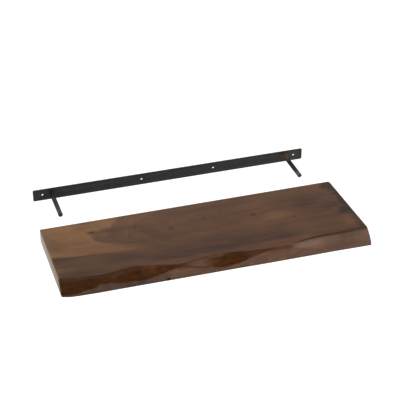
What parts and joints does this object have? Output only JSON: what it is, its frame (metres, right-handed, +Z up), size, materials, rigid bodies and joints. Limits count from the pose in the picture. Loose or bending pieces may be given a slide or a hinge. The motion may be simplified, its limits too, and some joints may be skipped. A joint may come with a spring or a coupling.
{
  "type": "floating wall shelf",
  "caption": "Live-edge wooden wall shelf that slides onto round pegs welded to a flat steel wall bar, shown with the plank drawn off.",
  "frame": {"origin": "the middle of the steel bar's wall face, at half the bar's height", "axes": "+X along the shelf to the right as one faces the wall, +Y into the wall, +Z up"},
  "size_m": [0.914, 0.5356, 0.0422],
  "materials": {
    "bar_steel": "blackened hot-rolled flat bar, satin, with brown heat tint at the welds",
    "peg_steel": "dark round rod, satin, slightly brownish",
    "weld_steel": "rippled fillet weld, dark, with brown tint",
    "plank_wood": "oiled dark hardwood, satin top, glossier natural front edge"
  },
  "bodies": {
    "bracket": {"wall_bar": "bar_steel", "peg_left": "peg_steel", "peg_right": "peg_steel", "weld_bead_left": "weld_steel", "weld_bead_right": "weld_steel"},
    "shelf": {"shelf_plank": "plank_wood"}
  },
  "joints": [
    {"name": "plank_slide", "type": "slide", "parent": "bracket", "child": "shelf", "axis": [0, 1, 0], "range_m": [0, 0.2227]}
  ]
}
